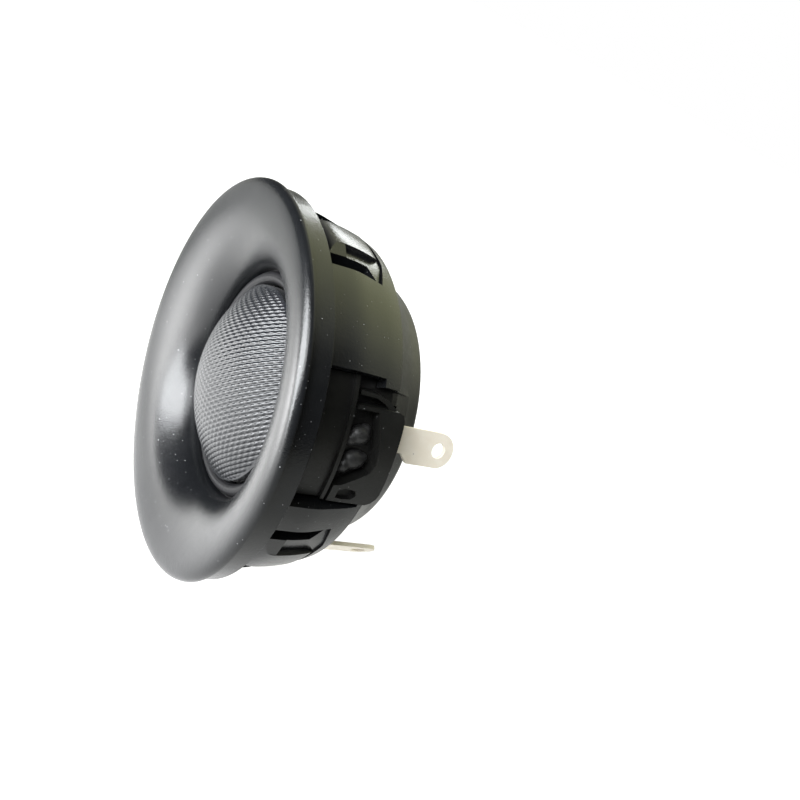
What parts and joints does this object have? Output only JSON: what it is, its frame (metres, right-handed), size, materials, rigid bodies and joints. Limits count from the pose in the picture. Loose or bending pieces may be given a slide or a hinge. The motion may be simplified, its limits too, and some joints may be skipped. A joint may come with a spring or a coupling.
{
  "type": "car tweeter",
  "caption": "Small soft-dome car tweeter: a trumpet-flared round flange around a woven dome, a snap-fit barrel with springy latches, a closed rear cup and flat solder tabs.",
  "frame": {"origin": "centre of the flange's back plane, which seats on the mounting panel", "axes": "+Y along the driver's axis from the dome towards the rear cup and the terminals, so the dome faces -Y; +Z at the upper snap latch, +X towards the side of the first terminal"},
  "size_m": [0.048, 0.0243, 0.048],
  "materials": {
    "moulded_black": "satin moulded plastic with a soft sheen",
    "cup_black": "matte moulded plastic",
    "tinned_metal": "tin-plated sheet metal, warm off-white",
    "adhesive": "cured black adhesive, slightly glossy",
    "lead_braid": "dark covered tinsel lead",
    "woven_fabric": "coated plain-weave cloth",
    "coated_cloth": "coated cloth half roll",
    "inner_plastic": "matte",
    "gasket_foam": "thin foam",
    "former_foil": "bare foil",
    "coil_wire": "enamelled copper winding",
    "zinc_steel": "zinc-plated steel",
    "magnet_plating": "nickel-plated neodymium",
    "felt": "pressed felt"
  },
  "bodies": {
    "housing": {"horn_ring": "moulded_black", "rear_cup": "cup_black", "terminal_block": "cup_black", "terminal_tab_a": "tinned_metal", "terminal_tab_b": "tinned_metal", "adhesive_blob_a": "adhesive", "adhesive_blob_b": "adhesive", "lead_wire_a": "lead_braid", "lead_wire_b": "lead_braid", "surround": "coated_cloth", "mounting_ring": "inner_plastic", "gasket": "gasket_foam", "front_plate": "zinc_steel", "yoke": "zinc_steel", "magnet": "magnet_plating", "damping_pad": "felt"},
    "diaphragm": {"dome": "woven_fabric", "coil_former": "former_foil", "voice_coil": "coil_wire"},
    "latch_top_finger": {"latch_top": "moulded_black"},
    "latch_right_finger": {"latch_right": "moulded_black"},
    "latch_left_finger": {"latch_left": "moulded_black"}
  },
  "joints": [
    {"name": "diaphragm_travel", "type": "slide", "parent": "housing", "child": "diaphragm", "axis": [0, 1, 0], "range_m": [-0.0003, 0.0003], "stiffness_N_per_m": 5000},
    {"name": "latch_top_flex", "type": "hinge", "parent": "housing", "child": "latch_top_finger", "pos_m": [0, 0.008, 0.0184], "axis": [1, 0, 0], "range_deg": [0, 4], "stiffness_Nm_per_rad": 0.3},
    {"name": "latch_right_flex", "type": "hinge", "parent": "housing", "child": "latch_right_finger", "pos_m": [0.01593, 0.008, -0.0092], "axis": [-0.5, 0, -0.866], "range_deg": [0, 4], "stiffness_Nm_per_rad": 0.3},
    {"name": "latch_left_flex", "type": "hinge", "parent": "housing", "child": "latch_left_finger", "pos_m": [-0.01593, 0.008, -0.0092], "axis": [-0.5, 0, 0.866], "range_deg": [0, 4], "stiffness_Nm_per_rad": 0.3}
  ]
}
